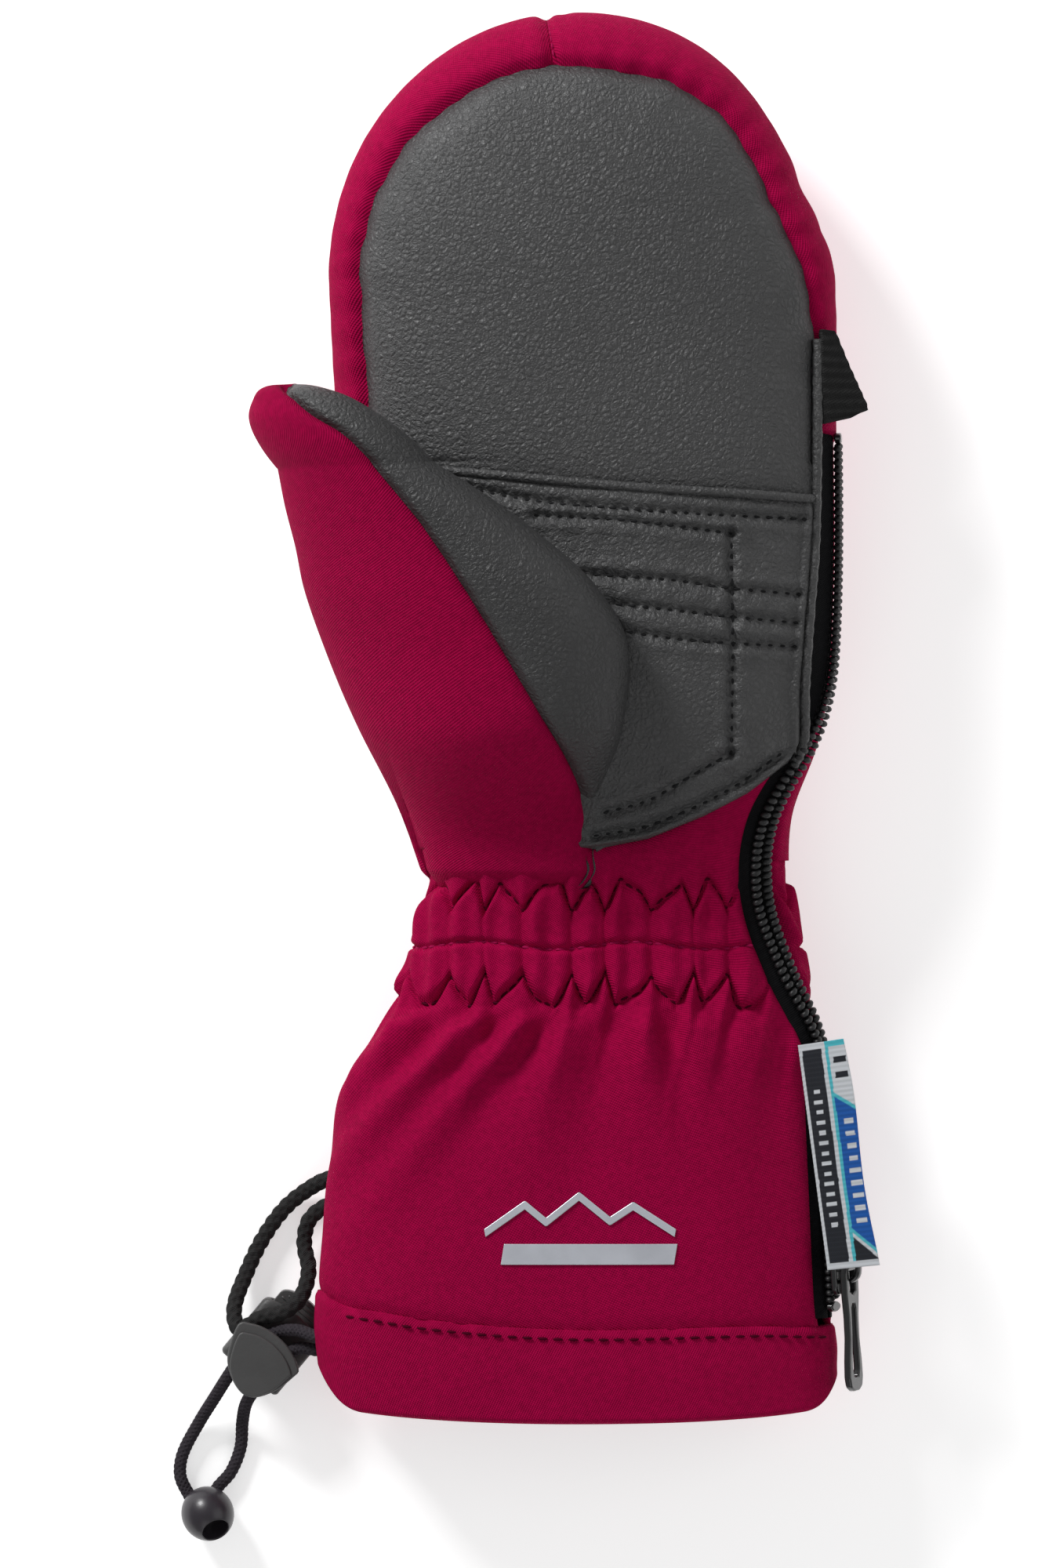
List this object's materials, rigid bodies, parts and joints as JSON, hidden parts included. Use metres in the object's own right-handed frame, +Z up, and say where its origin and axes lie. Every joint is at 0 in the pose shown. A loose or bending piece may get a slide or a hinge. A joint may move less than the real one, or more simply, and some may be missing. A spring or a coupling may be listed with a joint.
{
  "type": "ski mitten",
  "caption": "Padded left-hand ski mitten with a dark leather palm, side zip, elasticated wrist, gauntlet cuff, drawcord with cord lock and a tether loop.",
  "frame": {"origin": "centre of the mitten's footprint on the surface it lies on, back of the hand down", "axes": "+Z up through the palm, +Y to the fingertips, +X to the little finger side"},
  "size_m": [0.1308, 0.2828, 0.0545],
  "materials": {
    "shell_fabric": "matt softshell twill",
    "knuckle_fabric": "matt softshell twill",
    "palm_leather": "pebbled synthetic leather",
    "webbing": "woven tape and braid",
    "elastic_cord": "fine braid over rubber",
    "padding": "loose wadding",
    "membrane_film": "thin film",
    "fleece": "brushed fleece",
    "lock_plastic": "fine sparked texture",
    "bead_plastic": "glossy",
    "zip_metal": "gloss black",
    "zip_coil": "nylon",
    "spring_steel": "bright",
    "silver_print": "reflective transfer",
    "label_weave": "damask weave"
  },
  "bodies": {
    "mitten": {"palm_leather": "palm_leather", "palm_patch": "palm_leather", "side_piping": "palm_leather", "patch_piping": "palm_leather", "thumb_inner": "palm_leather", "thumb_outer": "shell_fabric", "finger_band_left": "shell_fabric", "finger_band_right": "shell_fabric", "back_panel": "shell_fabric", "back_knuckle_panel": "knuckle_fabric", "wrist_front": "shell_fabric", "wrist_back": "shell_fabric", "wrist_elastic_front": "webbing", "wrist_elastic_back": "webbing", "cuff_front": "shell_fabric", "cuff_back": "shell_fabric", "cuff_hem": "shell_fabric", "hem_elastic": "elastic_cord", "transfer_bar": "silver_print", "transfer_peaks": "silver_print", "wadding": "padding", "membrane": "membrane_film", "fleece_lining": "fleece", "zip_tape_front": "webbing", "zip_tape_back": "webbing", "zip_coil_front": "zip_coil", "zip_coil_back": "zip_coil", "zip_top_stop": "zip_metal", "zip_end_stop": "zip_metal", "zip_gusset": "shell_fabric", "flag_label": "label_weave", "ribbon_tab": "webbing", "drawcord_outer": "elastic_cord", "drawcord_inner": "elastic_cord", "tether_cord": "webbing", "bead": "bead_plastic", "lock_body": "lock_plastic", "lock_spring": "spring_steel"},
    "slider": {"zip_slider": "zip_metal"},
    "puller": {"zip_puller": "zip_metal"},
    "button": {"lock_button": "lock_plastic"}
  },
  "joints": [
    {"name": "zip_slide", "type": "slide", "parent": "mitten", "child": "slider", "axis": [-0.046, 0.9989, -0.0003], "range_m": [0, 0.033]},
    {"name": "puller_swing", "type": "hinge", "parent": "slider", "child": "puller", "pos_m": [0.05058, -0.10132, 0.01915], "axis": [-0.4237, -0.0192, 0.9056], "range_deg": [0, 165]},
    {"name": "button_press", "type": "slide", "parent": "mitten", "child": "button", "axis": [-0.6428, -0.766, 0], "range_m": [0, 0.0025], "stiffness_N_per_m": 400}
  ]
}
